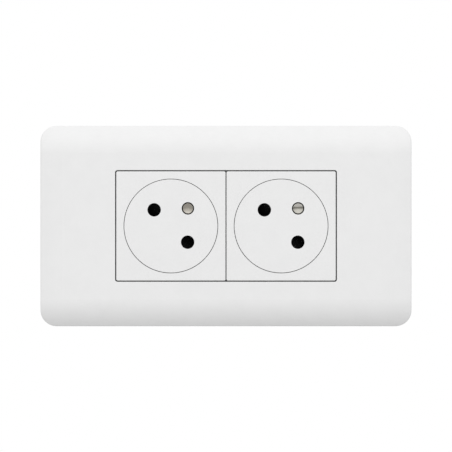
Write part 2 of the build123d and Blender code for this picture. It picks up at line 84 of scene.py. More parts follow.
def add(tree, kind, inputs=None, **settings):
    """Adds one node: settings are its properties, each input is a value or the socket that feeds it."""
    made = tree.nodes.new(kind)
    for name, value in settings.items():
        setattr(made, name, value)
    for key, value in (inputs or {}).items():
        if isinstance(value, bpy.types.NodeSocket):
            tree.links.new(value, made.inputs[key])
        else:
            made.inputs[key].default_value = value
    return made


def blank_material(name):
    """An empty node material and its tree."""
    made = bpy.data.materials.new(name)
    made.use_nodes = True
    made.node_tree.nodes.clear()
    return made, made.node_tree


def dress(material, *names):
    """Puts one material on carried-over CAD nodes."""
    for name in names:
        mesh = nodes[name].data
        mesh.materials.clear()
        mesh.materials.append(material)


def per_mm(size):
    """Texture scale, in repeats per metre, for a pattern of that size in millimetres."""
    return 1000 / size


# Glass-filled polyamide: matt, with the faint streaks that fibres leave along the flow, and a fine grain.
# Fibres are 0.3 mm long; the streaks are drawn 2 mm wide so that they show.
glass_filled_grey, tree = blank_material("glass_filled_polyamide_grey")
place = add(tree, "ShaderNodeTexCoord").outputs["Object"]
along = add(tree, "ShaderNodeMapping", {"Vector": place, "Scale": (1, 0.35, 1)}).outputs["Vector"]
streaks = add(tree, "ShaderNodeTexNoise", {
    "Vector": along, "Scale": per_mm(2), "Detail": 4.0, "Distortion": 0.6})
grain = add(tree, "ShaderNodeTexNoise", {"Vector": place, "Scale": per_mm(0.35), "Detail": 2.0})
tone = add(tree, "ShaderNodeValToRGB", {"Fac": streaks.outputs["Fac"]})
tone.color_ramp.elements[0].position, tone.color_ramp.elements[0].color = 0.32, colour("9A9C9C")
tone.color_ramp.elements[1].position, tone.color_ramp.elements[1].color = 0.7, colour("A6A8A7")
dull = add(tree, "ShaderNodeMapRange", {"Value": grain.outputs["Fac"], "To Min": 0.5, "To Max": 0.68})
bump = add(tree, "ShaderNodeBump", {"Height": grain.outputs["Fac"], "Strength": 0.25, "Distance": 0.00004})
shader = add(tree, "ShaderNodeBsdfPrincipled", {
    "Base Color": tone.outputs["Color"], "Roughness": dull.outputs["Result"],
    "Normal": bump.outputs["Normal"], "IOR": 1.53})
add(tree, "ShaderNodeOutputMaterial", {"Surface": shader.outputs["BSDF"]})
dress(glass_filled_grey, "left_base", "right_base", "left_rear_cover", "right_rear_cover")


# The pole contacts are stamped and folded from phosphor bronze strip 0.8 mm thick.
# Two leaves of 0.7 mm grip a pin, and a tongue lies inside the terminal cage.
# Each contact drops into its pocket in the base.

# Rolled phosphor bronze: reddish gold, lightly toned in clouds, with fine rolling lines along the strip.
phosphor_bronze, tree = blank_material("phosphor_bronze_strip")
place = add(tree, "ShaderNodeTexCoord").outputs["Object"]
along = add(tree, "ShaderNodeMapping", {"Vector": place, "Scale": (1, 0.08, 1)}).outputs["Vector"]
lines = add(tree, "ShaderNodeTexNoise", {"Vector": along, "Scale": per_mm(0.3), "Detail": 3.0})
clouds = add(tree, "ShaderNodeTexNoise", {"Vector": place, "Scale": per_mm(4), "Detail": 3.0})
tone = add(tree, "ShaderNodeValToRGB", {"Fac": clouds.outputs["Fac"]})
tone.color_ramp.elements[0].position, tone.color_ramp.elements[0].color = 0.35, colour("B9814F")
tone.color_ramp.elements[1].position, tone.color_ramp.elements[1].color = 0.68, colour("D9A876")
dull = add(tree, "ShaderNodeMapRange", {"Value": lines.outputs["Fac"], "To Min": 0.22, "To Max": 0.42})
bump = add(tree, "ShaderNodeBump", {"Height": lines.outputs["Fac"], "Strength": 0.2, "Distance": 0.00002})
shader = add(tree, "ShaderNodeBsdfPrincipled", {
    "Base Color": tone.outputs["Color"], "Roughness": dull.outputs["Result"],
    "Normal": bump.outputs["Normal"], "Metallic": 1.0})
add(tree, "ShaderNodeOutputMaterial", {"Surface": shader.outputs["BSDF"]})
for side in ("left", "right"):
    dress(phosphor_bronze, f"{side}_neutral_contact", f"{side}_line_contact")


# The terminal cages are sawn from brass tube and tapped; the earth straps are punched from brass sheet.
# Conductors go through the lid's funnels into the cages, and the screws clamp them.

# Plain brass: yellow, bright where it was cut, with small dull patches where it has been handled.
cut_brass, tree = blank_material("cut_brass")
place = add(tree, "ShaderNodeTexCoord").outputs["Object"]
patches = add(tree, "ShaderNodeTexNoise", {"Vector": place, "Scale": per_mm(3), "Detail": 4.0})
across = add(tree, "ShaderNodeMapping", {"Vector": place, "Scale": (0.1, 1, 0.1)}).outputs["Vector"]
saw_marks = add(tree, "ShaderNodeTexNoise", {"Vector": across, "Scale": per_mm(0.25), "Detail": 2.0})
tone = add(tree, "ShaderNodeValToRGB", {"Fac": patches.outputs["Fac"]})
tone.color_ramp.elements[0].position, tone.color_ramp.elements[0].color = 0.36, colour("B8964E")
tone.color_ramp.elements[1].position, tone.color_ramp.elements[1].color = 0.66, colour("DDC07A")
dull = add(tree, "ShaderNodeMapRange", {"Value": patches.outputs["Fac"], "To Min": 0.4, "To Max": 0.22})
bump = add(tree, "ShaderNodeBump", {
    "Height": saw_marks.outputs["Fac"], "Strength": 0.22, "Distance": 0.00002})
shader = add(tree, "ShaderNodeBsdfPrincipled", {
    "Base Color": tone.outputs["Color"], "Roughness": dull.outputs["Result"],
    "Normal": bump.outputs["Normal"], "Metallic": 1.0})
add(tree, "ShaderNodeOutputMaterial", {"Surface": shader.outputs["BSDF"]})
for side in ("left", "right"):
    dress(cut_brass, f"{side}_neutral_terminal", f"{side}_line_terminal", f"{side}_earth_terminal",
          f"{side}_earth_strap")


# Three slotted terminal screws and two cross-slotted lid screws hold each module's wires and lid.
# They are cold-headed from steel wire, thread-rolled and zinc-plated.

# Bright zinc: cool grey with a slight bluish cast, a soft sheen and a fine crystal mottling 0.6 mm across.
# The slots are painted darker: painted shade in the recesses.
zinc_plate, tree = blank_material("bright_zinc_on_steel")
place = add(tree, "ShaderNodeTexCoord").outputs["Object"]
crystals = add(tree, "ShaderNodeTexVoronoi", {"Vector": place, "Scale": per_mm(0.6)})
clouds = add(tree, "ShaderNodeTexNoise", {"Vector": place, "Scale": per_mm(2), "Detail": 3.0})
tone = add(tree, "ShaderNodeValToRGB", {"Fac": clouds.outputs["Fac"]})
tone.color_ramp.elements[0].position, tone.color_ramp.elements[0].color = 0.3, colour("B4B9BD")
tone.color_ramp.elements[1].position, tone.color_ramp.elements[1].color = 0.72, colour("D0D3D4")
dull = add(tree, "ShaderNodeMapRange", {
    "Value": crystals.outputs["Distance"], "To Min": 0.26, "To Max": 0.4})
slot_shade_mask = add(tree, "ShaderNodeAttribute", attribute_name="slot_shade_mask", attribute_type="GEOMETRY")
# Painted shade: faces in a slot take a darker zinc colour.
tone = add(tree, "ShaderNodeMix", {
    "Factor": slot_shade_mask.outputs["Fac"], "A": tone.outputs["Color"], "B": colour("54585A")}, data_type="RGBA")
shader = add(tree, "ShaderNodeBsdfPrincipled", {
    "Base Color": tone.outputs["Result"], "Roughness": dull.outputs["Result"], "Metallic": 1.0})
add(tree, "ShaderNodeOutputMaterial", {"Surface": shader.outputs["BSDF"]})


def new_tree(name, **sizes):
    """Geometry tree with one named input for each size, and its input node."""
    made = bpy.data.node_groups.new(name, "GeometryNodeTree")
    made.interface.new_socket("Geometry", in_out="INPUT", socket_type="NodeSocketGeometry")
    for size, kind in sizes.items():
        made.interface.new_socket(size.replace("_", " "), in_out="INPUT", socket_type="NodeSocket" + kind)
    made.interface.new_socket("Geometry", in_out="OUTPUT", socket_type="NodeSocketGeometry")
    return made, add(made, "NodeGroupInput").outputs


def grow(name, mesh, group, **sizes):
    """Runs a geometry tree on a mesh with the given sizes, and returns the result as a plain mesh object."""
    carrier = bpy.data.objects.new(name + "_carrier", mesh)
    scene.collection.objects.link(carrier)
    modifier = carrier.modifiers.new("grow", "NODES")
    modifier.node_group = group
    sockets = {s.name: s.identifier for s in group.interface.items_tree if s.in_out == "INPUT"}
    for size, value in sizes.items():
        modifier[sockets[size.replace("_", " ")]] = value
    bpy.context.view_layer.update()
    grown = carrier.evaluated_get(bpy.context.evaluated_depsgraph_get())
    result = bpy.data.objects.new(name, bpy.data.meshes.new_from_object(grown))
    scene.collection.objects.link(result)
    bpy.data.objects.remove(carrier)
    return result


# One screw stands on its head's seat. Its rolled thread, below, is a tube's wall pushed out along a helix.
# The thread fades out towards both ends of the shank.
fade_from, fade_to = 0.82, 0.98
screw_tree, given = new_tree(
    "screws", Core="Float", Thread_height="Float", Pitch="Float", Shank="Float", Head="Float",
    Head_height="Float", Crown="Float", Slot="Vector", Cross="Bool", Metal="Material")
tree = screw_tree
half_shank = add(tree, "ShaderNodeMath", {0: given["Shank"], 1: -0.5}, operation="MULTIPLY").outputs[0]
shank = add(tree, "GeometryNodeMeshCylinder", {
    "Vertices": 20, "Side Segments": 84, "Radius": given["Core"], "Depth": given["Shank"]})
position = add(tree, "ShaderNodeSeparateXYZ", {0: add(tree, "GeometryNodeInputPosition").outputs[0]})
turn = add(tree, "ShaderNodeMath", {
    0: position.outputs["Y"], 1: position.outputs["X"]}, operation="ARCTAN2").outputs[0]
turns = add(tree, "ShaderNodeMath", {0: turn, 1: 1 / (2 * math.pi)}, operation="MULTIPLY").outputs[0]
pitches = add(tree, "ShaderNodeMath", {
    0: position.outputs["Z"], 1: given["Pitch"]}, operation="DIVIDE").outputs[0]
phase = add(tree, "ShaderNodeMath", {0: pitches, 1: turns}, operation="SUBTRACT").outputs[0]
ridge = add(tree, "ShaderNodeMath", {0: phase, 1: 0.5}, operation="PINGPONG").outputs[0]
ridge = add(tree, "ShaderNodeMath", {0: ridge, 1: 2.0}, operation="MULTIPLY").outputs[0]
ridge = add(tree, "ShaderNodeMath", {0: ridge, 1: given["Thread height"]}, operation="MULTIPLY").outputs[0]
to_end = add(tree, "ShaderNodeMath", {0: position.outputs["Z"]}, operation="ABSOLUTE").outputs[0]
run_out = add(tree, "ShaderNodeMapRange", {
    "Value": to_end,
    "From Min": add(tree, "ShaderNodeMath", {0: half_shank, 1: -fade_from}, operation="MULTIPLY").outputs[0],
    "From Max": add(tree, "ShaderNodeMath", {0: half_shank, 1: -fade_to}, operation="MULTIPLY").outputs[0],
    "To Min": 1.0, "To Max": 0.0}).outputs["Result"]
ridge = add(tree, "ShaderNodeMath", {0: ridge, 1: run_out}, operation="MULTIPLY").outputs[0]
outwards = add(tree, "ShaderNodeCombineXYZ", {
    "X": position.outputs["X"], "Y": position.outputs["Y"]}).outputs["Vector"]
outwards = add(tree, "ShaderNodeVectorMath", {0: outwards}, operation="NORMALIZE").outputs["Vector"]
push = add(tree, "ShaderNodeVectorMath", {0: outwards, "Scale": ridge}, operation="SCALE").outputs["Vector"]
threaded = add(tree, "GeometryNodeSetPosition", {
    "Geometry": shank.outputs["Mesh"], "Offset": push}).outputs["Geometry"]
shank_middle = add(tree, "ShaderNodeCombineXYZ", {"Z": half_shank}).outputs["Vector"]
threaded = add(tree, "GeometryNodeTransform", {
    "Geometry": threaded, "Translation": shank_middle}).outputs["Geometry"]

# The head is a short cylinder whose top falls away towards its rim, with one or two slots cut in.
crown_power = 2.6
head = add(tree, "GeometryNodeMeshCylinder", {
    "Vertices": 40, "Side Segments": 8, "Fill Segments": 6,
    "Radius": given["Head"], "Depth": given["Head height"]})
half_head = add(tree, "ShaderNodeMath", {0: given["Head height"], 1: 0.5}, operation="MULTIPLY").outputs[0]
level = add(tree, "ShaderNodeCombineXYZ", {
    "X": position.outputs["X"], "Y": position.outputs["Y"]}).outputs["Vector"]
out_share = add(tree, "ShaderNodeVectorMath", {0: level}, operation="LENGTH").outputs["Value"]
out_share = add(tree, "ShaderNodeMath", {0: out_share, 1: given["Head"]}, operation="DIVIDE").outputs[0]
out_share = add(tree, "ShaderNodeMath", {0: out_share, 1: crown_power}, operation="POWER").outputs[0]
up_share = add(tree, "ShaderNodeMapRange", {
    "Value": position.outputs["Z"],
    "From Min": add(tree, "ShaderNodeMath", {0: half_head, 1: -1.0}, operation="MULTIPLY").outputs[0],
    "From Max": half_head}).outputs["Result"]
drop = add(tree, "ShaderNodeMath", {0: out_share, 1: up_share}, operation="MULTIPLY").outputs[0]
drop = add(tree, "ShaderNodeMath", {0: drop, 1: given["Crown"]}, operation="MULTIPLY").outputs[0]
drop = add(tree, "ShaderNodeMath", {0: drop, 1: -1.0}, operation="MULTIPLY").outputs[0]
crowned = add(tree, "GeometryNodeSetPosition", {
    "Geometry": head.outputs["Mesh"],
    "Offset": add(tree, "ShaderNodeCombineXYZ", {"Z": drop}).outputs["Vector"]}).outputs["Geometry"]
head_middle = add(tree, "ShaderNodeCombineXYZ", {"Z": half_head}).outputs["Vector"]
crowned = add(tree, "GeometryNodeTransform", {
    "Geometry": crowned, "Translation": head_middle}).outputs["Geometry"]
slot_size = add(tree, "ShaderNodeVectorMath", {0: given["Slot"], 1: (1, 1, 2)}, operation="MULTIPLY")
cutter = add(tree, "GeometryNodeMeshCube", {"Size": slot_size.outputs["Vector"]}).outputs["Mesh"]
head_top = add(tree, "ShaderNodeCombineXYZ", {"Z": given["Head height"]}).outputs["Vector"]
first_cut = add(tree, "GeometryNodeTransform", {
    "Geometry": cutter, "Translation": head_top}).outputs["Geometry"]
second_cut = add(tree, "GeometryNodeTransform", {
    "Geometry": cutter, "Translation": head_top, "Rotation": (0, 0, math.pi / 2)}).outputs["Geometry"]
second_cut = add(tree, "GeometryNodeSwitch", {
    "Switch": given["Cross"], "True": second_cut}, input_type="GEOMETRY").outputs["Output"]
slotted = add(tree, "GeometryNodeMeshBoolean", {
    "Mesh 1": crowned, "Mesh 2": first_cut}, operation="DIFFERENCE", solver="EXACT").outputs["Mesh"]
slotted = add(tree, "GeometryNodeMeshBoolean", {
    "Mesh 1": slotted, "Mesh 2": second_cut}, operation="DIFFERENCE", solver="EXACT").outputs["Mesh"]

# A face is in a slot where it lies under the crowned top, inside the rim and above the seat. The zinc paints
# these faces darker, as painted shade.
under_top, rim_share, over_seat = 0.00006, 0.92, 0.00001
below = add(tree, "ShaderNodeMath", {
    0: given["Head height"], 1: position.outputs["Z"]}, operation="SUBTRACT").outputs[0]
dip = add(tree, "ShaderNodeMath", {0: out_share, 1: given["Crown"]}, operation="MULTIPLY").outputs[0]
below = add(tree, "ShaderNodeMath", {0: below, 1: dip}, operation="SUBTRACT").outputs[0]
sunk = add(tree, "ShaderNodeMath", {0: below, 1: under_top}, operation="GREATER_THAN").outputs[0]
inside = add(tree, "ShaderNodeMath", {0: out_share, 1: rim_share}, operation="LESS_THAN").outputs[0]
above = add(tree, "ShaderNodeMath", {
    0: position.outputs["Z"], 1: over_seat}, operation="GREATER_THAN").outputs[0]
slot_shade_mask = add(tree, "ShaderNodeMath", {0: sunk, 1: inside}, operation="MULTIPLY").outputs[0]
slot_shade_mask = add(tree, "ShaderNodeMath", {0: slot_shade_mask, 1: above}, operation="MULTIPLY").outputs[0]
slotted = add(tree, "GeometryNodeStoreNamedAttribute", {
    "Geometry": slotted, "Name": "slot_shade_mask", "Value": slot_shade_mask},
    data_type="FLOAT", domain="FACE").outputs["Geometry"]

# Shank and head are joined and set on every point, along its facing.
joined = add(tree, "GeometryNodeJoinGeometry", {"Geometry": threaded})
tree.links.new(slotted, joined.inputs["Geometry"])
facing = add(tree, "GeometryNodeInputNamedAttribute", {"Name": "facing"}, data_type="FLOAT_VECTOR")
standing = add(tree, "FunctionNodeAlignRotationToVector", {
    "Vector": facing.outputs["Attribute"]}, axis="Z").outputs["Rotation"]
placed = add(tree, "GeometryNodeInstanceOnPoints", {
    "Points": given["Geometry"], "Instance": joined.outputs["Geometry"],
    "Rotation": standing}).outputs["Instances"]
placed = add(tree, "GeometryNodeRealizeInstances", {"Geometry": placed}).outputs["Geometry"]
placed = add(tree, "GeometryNodeSetMaterial", {
    "Geometry": placed, "Material": given["Metal"]}).outputs["Geometry"]
add(tree, "NodeGroupOutput", {"Geometry": placed})


def facing_points(name, spots):
    """Loose points, each with the direction that its screw head faces."""
    made = bpy.data.meshes.new(name)
    made.from_pydata([spot for spot, _ in spots], [], [])
    facings = made.attributes.new("facing", "FLOAT_VECTOR", "POINT")
    for entry, (_, direction) in zip(facings.data, spots):
        entry.vector = direction
    return made


for side in ("left", "right"):
    low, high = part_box(f"{side}_terminal_screws")
    head, head_height = 0.002, 0.0016
    screw_y, seat_z = (low.y + high.y) / 2, high.z - head_height
    left_x, right_x = low.x + head, high.x - head
    spots = [((left_x, screw_y, seat_z), (0, 0, 1)), ((right_x, screw_y, seat_z), (0, 0, 1)),
             ((right_x, screw_y, -seat_z), (0, 0, -1))]
    screws = grow(f"{side}_slotted_screws", facing_points(f"{side}_screw_points", spots), screw_tree,
                  Core=0.0012, Thread_height=0.00028, Pitch=0.0005, Shank=0.0045, Head=head,
                  Head_height=head_height, Crown=0.0003, Slot=(0.006, 0.0008, 0.0008), Cross=False,
                  Metal=zinc_plate)
    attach(screws, "housing")
    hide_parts(f"{side}_terminal_screws")

    low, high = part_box(f"{side}_cover_screws")
    head, head_height = 0.0024, 0.0014
    seat_y = high.y - head_height
    spots = [((x, seat_y, z), (0, 1, 0)) for x, z in (
        (low.x + head, low.z + head), (high.x - head, high.z - head))]
    screws = grow(f"{side}_lid_screws", facing_points(f"{side}_lid_screw_points", spots), screw_tree,
                  Core=0.0008, Thread_height=0.00028, Pitch=0.0009, Shank=0.0075, Head=head,
                  Head_height=head_height, Crown=0.0005, Slot=(0.0028, 0.0006, 0.0008), Cross=True,
                  Metal=zinc_plate)
    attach(screws, "housing")
    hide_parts(f"{side}_cover_screws")


# The return springs are wound from hard-drawn steel wire 0.7 mm thick, with nearly a closed turn at each end.
# Each stands between the base and the ledge inside the disc, and closes up as a plug pushes the disc in.

# Drawn spring wire: dark grey steel under a thin, uneven oil film that dulls it in clouds.
spring_wire, tree = blank_material("drawn_spring_wire")
place = add(tree, "ShaderNodeTexCoord").outputs["Object"]
film = add(tree, "ShaderNodeTexNoise", {"Vector": place, "Scale": per_mm(1.5), "Detail": 4.0})
tone = add(tree, "ShaderNodeValToRGB", {"Fac": film.outputs["Fac"]})
tone.color_ramp.elements[0].position, tone.color_ramp.elements[0].color = 0.34, colour("8C8C8A")
tone.color_ramp.elements[1].position, tone.color_ramp.elements[1].color = 0.68, colour("ABABA8")
dull = add(tree, "ShaderNodeMapRange", {"Value": film.outputs["Fac"], "To Min": 0.24, "To Max": 0.44})
shader = add(tree, "ShaderNodeBsdfPrincipled", {
    "Base Color": tone.outputs["Color"], "Roughness": dull.outputs["Result"], "Metallic": 1.0})
add(tree, "ShaderNodeOutputMaterial", {"Surface": shader.outputs["BSDF"]})


def draw_wire(tree, path, given):
    """Ends a geometry tree: sweeps round wire along the path and gives it its metal."""
    wire_radius = add(tree, "ShaderNodeMath", {0: given["Wire"], 1: 0.5}, operation="MULTIPLY").outputs[0]
    section = add(tree, "GeometryNodeCurvePrimitiveCircle", {"Resolution": 12, "Radius": wire_radius})
    drawn = add(tree, "GeometryNodeCurveToMesh", {
        "Curve": path, "Profile Curve": section.outputs["Curve"], "Fill Caps": True}).outputs["Mesh"]
    drawn = add(tree, "GeometryNodeSetShadeSmooth", {"Geometry": drawn}).outputs["Geometry"]
    drawn = add(tree, "GeometryNodeRealizeInstances", {"Geometry": drawn}).outputs["Geometry"]
    drawn = add(tree, "GeometryNodeSetMaterial", {
        "Geometry": drawn, "Material": given["Metal"]}).outputs["Geometry"]
    add(tree, "NodeGroupOutput", {"Geometry": drawn})


# The wire follows a spiral whose rise is held at nothing over the closed turn at either end.
spring_tree, given = new_tree(
    "wound spring", Coil_radius="Float", Wire="Float", Length="Float", Turns="Float", Closed="Float",
    Seat="Vector", Metal="Material")
tree = spring_tree
spiral = add(tree, "GeometryNodeCurveSpiral", {
    "Resolution": 64, "Rotations": given["Turns"], "Start Radius": given["Coil radius"],
    "End Radius": given["Coil radius"], "Height": 1.0})
position = add(tree, "ShaderNodeSeparateXYZ", {0: add(tree, "GeometryNodeInputPosition").outputs[0]})
rest_share = add(tree, "ShaderNodeMath", {
    0: given["Closed"], 1: given["Turns"]}, operation="DIVIDE").outputs[0]
rise = add(tree, "ShaderNodeMapRange", {
    "Value": position.outputs["Z"], "From Min": rest_share,
    "From Max": add(tree, "ShaderNodeMath", {0: 1.0, 1: rest_share}, operation="SUBTRACT").outputs[0],
    "To Max": given["Length"]}).outputs["Result"]
wound = add(tree, "ShaderNodeCombineXYZ", {
    "X": position.outputs["X"], "Y": rise, "Z": position.outputs["Y"]}).outputs["Vector"]
wound = add(tree, "ShaderNodeVectorMath", {0: wound, 1: given["Seat"]}, operation="ADD").outputs["Vector"]
path = add(tree, "GeometryNodeSetPosition", {
    "Geometry": spiral.outputs["Curve"], "Position": wound}).outputs["Geometry"]
draw_wire(tree, path, given)

wire = 0.0007
for side in ("left", "right"):
    low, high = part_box(f"{side}_return_spring")
    axis_x = (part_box(f"{side}_disc")[0].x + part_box(f"{side}_disc")[1].x) / 2
    length = high.y - low.y
    spring = grow(f"{side}_wound_spring", bpy.data.meshes.new(f"{side}_spring_start"), spring_tree,
                  Coil_radius=(high.x - low.x - wire) / 2, Wire=wire, Length=length - wire,
                  Turns=5.0, Closed=0.9, Seat=(axis_x, low.y + wire / 2, 0), Metal=spring_wire)
    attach(spring, "housing")
    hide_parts(f"{side}_return_spring")
    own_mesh(spring)


# The earth pins are turned from brass bar and nickel-plated, riveted to the strap behind the base's wall.
# Their tips stand just under the surface in the third hole of each disc.
tip_radius, tip_reach = 0.0022, 0.0014
wander = tip_radius / 6

# Worn nickel: warm grey, with turning rings round the tip and dull clouds where plugs have rubbed it.
# Painted shade, in stops that run upwards: the left tip darkens upwards from a bright foot, as under the
# hole's upper rim; the right one has a darker band across its middle and painted light above it.
tip_painted_shade = {
    "left": ((0.1, "A8A49C"), (0.5, "837F77"), (0.9, "88847C")),
    "right": ((0.34, "A4A29B"), (0.54, "6A6861"), (0.6, "706E67"), (0.7, "AAA8A2")),
}
for side in ("left", "right"):
    low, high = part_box(f"{side}_earth_pin")
    rubbed_nickel_painted_shade, tree = blank_material(f"rubbed_nickel_plate_painted_shade_{side}")
    place = add(tree, "ShaderNodeTexCoord").outputs["Object"]
    centred = add(tree, "ShaderNodeMapping", {
        "Vector": place, "Location": (-(low.x + high.x) / 2, 0, -(low.z + high.z) / 2)}).outputs["Vector"]
    flat = add(tree, "ShaderNodeVectorMath", {
        0: centred, 1: (1, 0, 1)}, operation="MULTIPLY").outputs["Vector"]
    from_axis = add(tree, "ShaderNodeVectorMath", {0: flat}, operation="LENGTH").outputs["Value"]
    # Turning marks are 0.1 mm apart; they are drawn 0.4 mm apart so that they show.
    rings = add(tree, "ShaderNodeMath", {
        0: from_axis, 1: per_mm(0.4) * 2 * math.pi}, operation="MULTIPLY").outputs[0]
    rings = add(tree, "ShaderNodeMath", {0: rings}, operation="SINE").outputs[0]
    clouds = add(tree, "ShaderNodeTexNoise", {"Vector": place, "Scale": per_mm(3), "Detail": 3.0})
    tone = add(tree, "ShaderNodeValToRGB", {"Fac": clouds.outputs["Fac"]})
    tone.color_ramp.elements[0].position, tone.color_ramp.elements[0].color = 0.36, colour("86827A")
    tone.color_ramp.elements[1].position, tone.color_ramp.elements[1].color = 0.62, colour("AEAAA2")
    spread = add(tree, "ShaderNodeSeparateXYZ", {"Vector": centred}).outputs
    drift = add(tree, "ShaderNodeMapRange", {
        "Value": clouds.outputs["Fac"], "To Min": -wander, "To Max": wander}).outputs["Result"]
    drift = add(tree, "ShaderNodeMath", {0: spread["Z"], 1: drift}, operation="ADD").outputs[0]
    up = add(tree, "ShaderNodeMapRange", {"Value": drift, "From Min": -tip_radius, "From Max": tip_radius})
    # Painted shade: the tip's colour follows its height, darker and lighter as light and shade fall in the
    # hole.
    painted_shade_ramp = add(tree, "ShaderNodeValToRGB", {"Fac": up.outputs["Result"]})
    stops = painted_shade_ramp.color_ramp.elements
    for stop, (height, shade) in enumerate(tip_painted_shade[side]):
        if stop >= len(stops):
            stops.new(height)
        stops[stop].position, stops[stop].color = height, colour(shade)
    behind = add(tree, "ShaderNodeMapRange", {
        "Value": spread["Y"], "From Min": low.y + tip_reach / 2, "From Max": low.y + tip_reach})
    tone = add(tree, "ShaderNodeMix", {
        "Factor": behind.outputs["Result"], "A": painted_shade_ramp.outputs["Color"],
        "B": tone.outputs["Color"]}, data_type="RGBA")
    dull = add(tree, "ShaderNodeMapRange", {"Value": clouds.outputs["Fac"], "To Min": 0.44, "To Max": 0.32})
    bump = add(tree, "ShaderNodeBump", {"Height": rings, "Strength": 0.12, "Distance": 0.00002})
    shader = add(tree, "ShaderNodeBsdfPrincipled", {
        "Base Color": tone.outputs["Result"], "Roughness": dull.outputs["Result"],
        "Normal": bump.outputs["Normal"], "Metallic": 1.0})
    add(tree, "ShaderNodeOutputMaterial", {"Surface": shader.outputs["BSDF"]})
    dress(rubbed_nickel_painted_shade, f"{side}_earth_pin")


# A shutter turns on a pivot behind each disc: a hub and two ramped wings moulded in black polyamide.
# Its wings stand behind the pin holes until two pins push on the ramps together.

# Matt black polyamide: almost no sheen, a fine spark-eroded grain 0.3 mm across.
matt_black, tree = blank_material("matt_black_polyamide")
place = add(tree, "ShaderNodeTexCoord").outputs["Object"]
grain = add(tree, "ShaderNodeTexNoise", {"Vector": place, "Scale": per_mm(0.3), "Detail": 2.0})
tone = add(tree, "ShaderNodeValToRGB", {"Fac": grain.outputs["Fac"]})
tone.color_ramp.elements[0].position, tone.color_ramp.elements[0].color = 0.3, colour("050505")
tone.color_ramp.elements[1].position, tone.color_ramp.elements[1].color = 0.7, colour("0E0E0E")
bump = add(tree, "ShaderNodeBump", {"Height": grain.outputs["Fac"], "Strength": 0.3, "Distance": 0.00003})
shader = add(tree, "ShaderNodeBsdfPrincipled", {
    "Base Color": tone.outputs["Color"], "Roughness": 0.75, "Normal": bump.outputs["Normal"],
    "Specular IOR Level": 0.1})
add(tree, "ShaderNodeOutputMaterial", {"Surface": shader.outputs["BSDF"]})
dress(matt_black, "left_shutter", "right_shutter")


# The shutter springs are wound from 0.4 mm wire of the same steel, round each shutter's neck. One leg lies
# against a wing and the other on the disc's peg, so a spring winds as the wings turn. The clips that hold the
# shutters on are steel too.

# The wire follows a spiral that ends flat. Its first and last points are drawn out to be the legs, and
# the bends at their roots are rounded.
torsion_tree, given = new_tree(
    "torsion spring", Coil_radius="Float", Wire="Float", Depth="Float", Turns="Float", Closed="Float",
    Reach="Float", Bend="Float", Turned="Float", Seat="Vector", Metal="Material")
tree = torsion_tree
spiral = add(tree, "GeometryNodeCurveSpiral", {
    "Resolution": 48, "Rotations": given["Turns"], "Start Radius": given["Coil radius"],
    "End Radius": given["Coil radius"], "Height": 1.0})
position = add(tree, "ShaderNodeSeparateXYZ", {0: add(tree, "GeometryNodeInputPosition").outputs[0]})
closed_share = add(tree, "ShaderNodeMath", {
    0: given["Closed"], 1: given["Turns"]}, operation="DIVIDE").outputs[0]
rise = add(tree, "ShaderNodeMapRange", {
    "Value": position.outputs["Z"],
    "From Max": add(tree, "ShaderNodeMath", {0: 1.0, 1: closed_share}, operation="SUBTRACT").outputs[0],
    "To Max": given["Depth"]}).outputs["Result"]
leg_ends = add(tree, "GeometryNodeCurveEndpointSelection", {"Start Size": 1, "End Size": 1})
drawn_out = add(tree, "ShaderNodeMath", {
    0: given["Reach"], 1: given["Coil radius"]}, operation="DIVIDE").outputs[0]
drawn_out = add(tree, "GeometryNodeSwitch", {
    "Switch": leg_ends.outputs["Selection"], "False": 1.0, "True": drawn_out},
    input_type="FLOAT").outputs["Output"]
wound = add(tree, "ShaderNodeCombineXYZ", {
    "X": add(tree, "ShaderNodeMath", {
        0: position.outputs["X"], 1: drawn_out}, operation="MULTIPLY").outputs[0],
    "Y": rise,
    "Z": add(tree, "ShaderNodeMath", {
        0: position.outputs["Y"], 1: drawn_out}, operation="MULTIPLY").outputs[0]}).outputs["Vector"]
path = add(tree, "GeometryNodeSetPosition", {
    "Geometry": spiral.outputs["Curve"], "Position": wound}).outputs["Geometry"]
bends = add(tree, "GeometryNodeCurveEndpointSelection", {"Start Size": 2, "End Size": 2})
bend_radius = add(tree, "GeometryNodeSwitch", {
    "Switch": bends.outputs["Selection"], "False": 0.0, "True": given["Bend"]},
    input_type="FLOAT").outputs["Output"]
path = add(tree, "GeometryNodeFilletCurve", {
    "Curve": path, "Count": 6, "Radius": bend_radius, "Limit Radius": True}, mode="POLY").outputs["Curve"]
about_axis = add(tree, "ShaderNodeCombineXYZ", {"Y": given["Turned"]}).outputs["Vector"]
path = add(tree, "GeometryNodeTransform", {
    "Geometry": path, "Translation": given["Seat"], "Rotation": about_axis}).outputs["Geometry"]
draw_wire(tree, path, given)

fine_wire = 0.0004
leg_on_wing, leg_on_peg = math.radians(99), math.radians(214)
half_turns, closed_angle = 3, (leg_on_wing - leg_on_peg) % math.pi
for side in ("left", "right"):
    low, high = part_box(f"{side}_shutter_spring")
    axis_x = (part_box(f"{side}_disc")[0].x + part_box(f"{side}_disc")[1].x) / 2
    front, rear = low.y + fine_wire / 2, high.y - fine_wire / 2
    spring = grow(f"{side}_torsion_spring", bpy.data.meshes.new(f"{side}_torsion_start"), torsion_tree,
                  Coil_radius=0.0034, Wire=fine_wire, Depth=rear - front,
                  Turns=half_turns / 2 + closed_angle / (2 * math.pi), Closed=closed_angle / (2 * math.pi),
                  Reach=0.0072, Bend=0.0006, Turned=-leg_on_wing, Seat=(axis_x, front, 0), Metal=spring_wire)
    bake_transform(spring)
    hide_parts(f"{side}_shutter_spring")
    dress(spring_wire, f"{side}_shutter_clip")


# The discs, the square front frames and the cover plate are moulded in the same white polycarbonate.
# The discs slide in the frames' wells, the frames hook into the support, and the plate clips over both.

